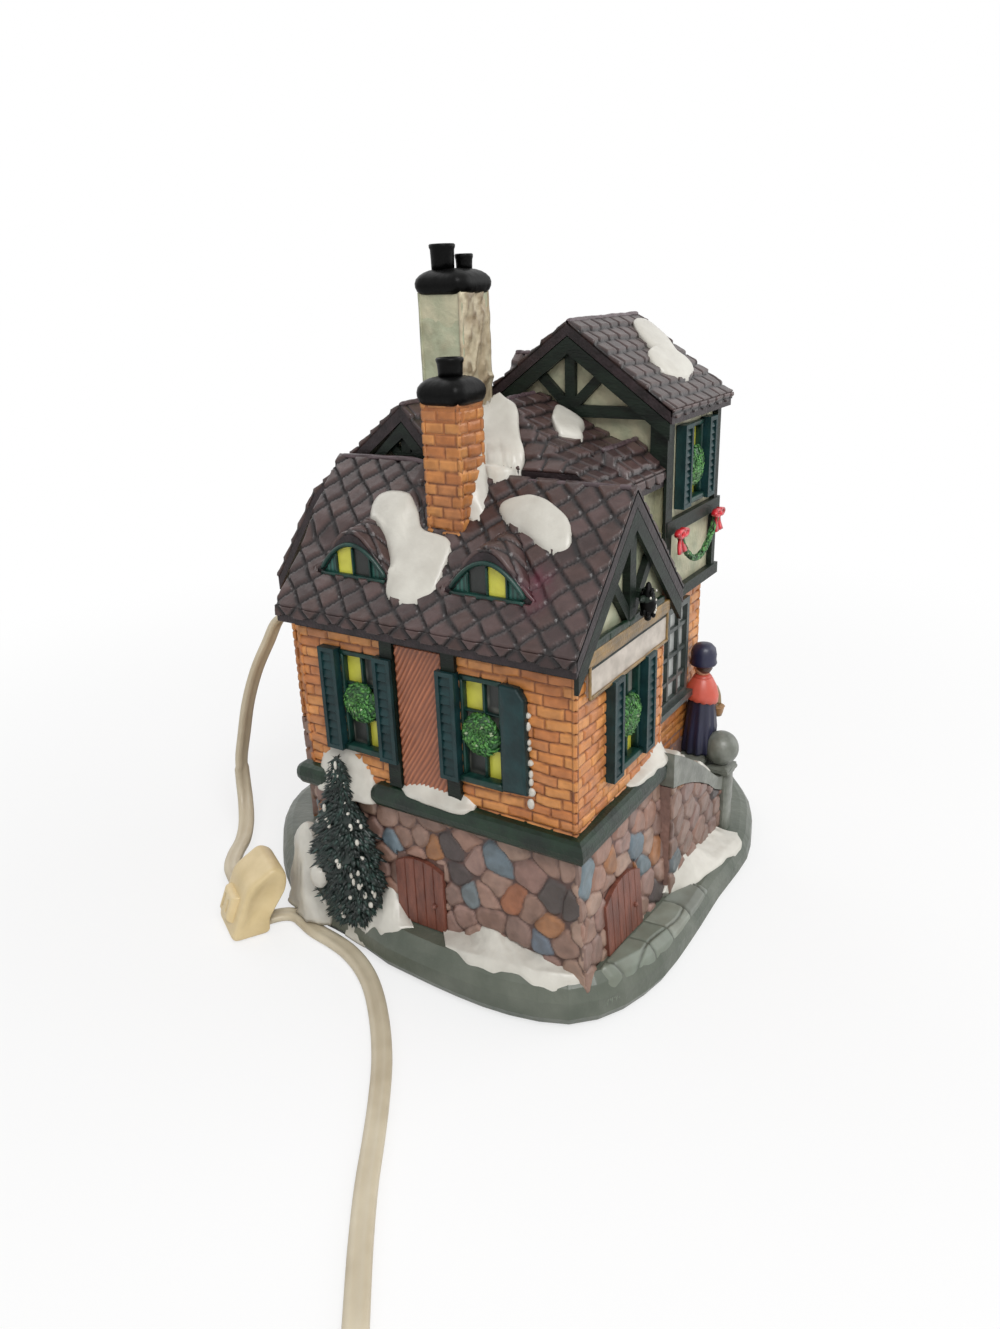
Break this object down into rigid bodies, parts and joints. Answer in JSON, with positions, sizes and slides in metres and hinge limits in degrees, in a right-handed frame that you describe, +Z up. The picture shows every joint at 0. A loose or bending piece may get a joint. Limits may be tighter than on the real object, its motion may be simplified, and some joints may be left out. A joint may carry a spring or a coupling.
{
  "type": "lighted christmas village building",
  "caption": "Cast and hand-painted village shop with snowy gabled roofs, a half-timbered tower and chimneys, lit by a bulb on a clip-in corded lamp holder in its back wall.",
  "frame": {"origin": "middle of the underside of the building's plinth, on the table", "axes": "+X along the shop front towards the stair, +Y from the shop front to the back wall, +Z up"},
  "size_m": [0.3415, 0.2298, 0.1918],
  "materials": {
    "stonework": "hand painted, semi-gloss glaze",
    "ground": "hand painted, semi-gloss glaze",
    "brick": "hand painted, semi-gloss glaze",
    "rendered_panel": "hand painted, combed texture",
    "plaster": "hand painted, satin",
    "chimney_plaster": "hand painted, satin",
    "timber": "hand painted, semi-gloss",
    "shutter": "hand painted, semi-gloss",
    "sash": "hand painted, semi-gloss",
    "bay_frame": "hand painted, semi-gloss",
    "roof": "hand painted, semi-gloss shingles",
    "chimney_pot": "black glaze",
    "door_wood": "hand painted boards",
    "coping": "hand painted stone grey",
    "sign_board": "hand painted, semi-gloss",
    "garland": "hand painted greenery with red bows",
    "figure": "hand painted, semi-gloss",
    "spruce": "hand painted, dark green",
    "snow": "white glaze",
    "light_sheet": "thin tinted film",
    "ivory_plastic": "moulded, satin",
    "cord": "soft vinyl",
    "spring_steel": "bright",
    "bulb_glass": "clear",
    "brass_cap": "satin"
  },
  "bodies": {
    "building": {"stone_basement": "stonework", "plinth": "ground", "cellar_door_side": "door_wood", "cellar_door_front": "door_wood", "ledge_moulding": "timber", "ledge_end": "timber", "side_near_window": "sash", "side_near_shutter_left": "shutter", "side_near_shutter_right": "shutter", "side_far_window": "sash", "side_far_shutter_left": "shutter", "side_far_shutter_right": "shutter", "shop_window": "sash", "shop_shutter_left": "shutter", "shop_shutter_right": "shutter", "tower_window": "sash", "tower_shutter_left": "shutter", "tower_shutter_right": "shutter", "front_wing_walls": "brick", "light_sheet": "light_sheet", "timber_frame": "timber", "rendered_panel": "rendered_panel", "sign_board": "sign_board", "front_roof": "roof", "eyebrow_window_near": "sash", "eyebrow_window_far": "sash", "front_gable_timbers": "timber", "block_walls": "brick", "bay_window": "bay_frame", "rear_upper_walls": "plaster", "rear_gable_timbers": "timber", "rear_roof": "roof", "centre_roof": "roof", "tower_walls": "plaster", "tower_roof": "roof", "tower_timbers": "timber", "garland": "garland", "brick_chimney": "brick", "brick_chimney_cap": "chimney_pot", "plaster_chimney": "chimney_plaster", "plaster_chimney_cap": "chimney_pot", "stair_wall": "stonework", "coping_and_newel": "coping", "stair_steps": "coping", "shopper_figure": "figure", "spruce_tree": "spruce", "snow_on_front_roof": "snow", "snow_by_ridge": "snow", "snow_on_tower": "snow", "snow_on_ledge": "snow", "snow_bank": "snow"},
    "lamp_set": {"lamp_holder": "ivory_plastic", "lamp_spring_clip": "spring_steel", "lamp_lead": "cord", "table_tap": "ivory_plastic", "supply_lead": "cord", "supply_coil": "cord", "supply_plug": "ivory_plastic"},
    "bulb": {"bulb_screw_cap": "brass_cap", "bulb_glass": "bulb_glass"}
  },
  "joints": [
    {"name": "lamp_holder_pull", "type": "slide", "parent": "building", "child": "lamp_set", "axis": [0, 1, 0], "range_m": [0, 0.062]},
    {"name": "bulb_turn", "type": "hinge", "parent": "lamp_set", "child": "bulb", "pos_m": [-0.0178, 0.04217, 0.0778], "axis": [0, -1, 0], "range_deg": [0, 1080]}
  ]
}
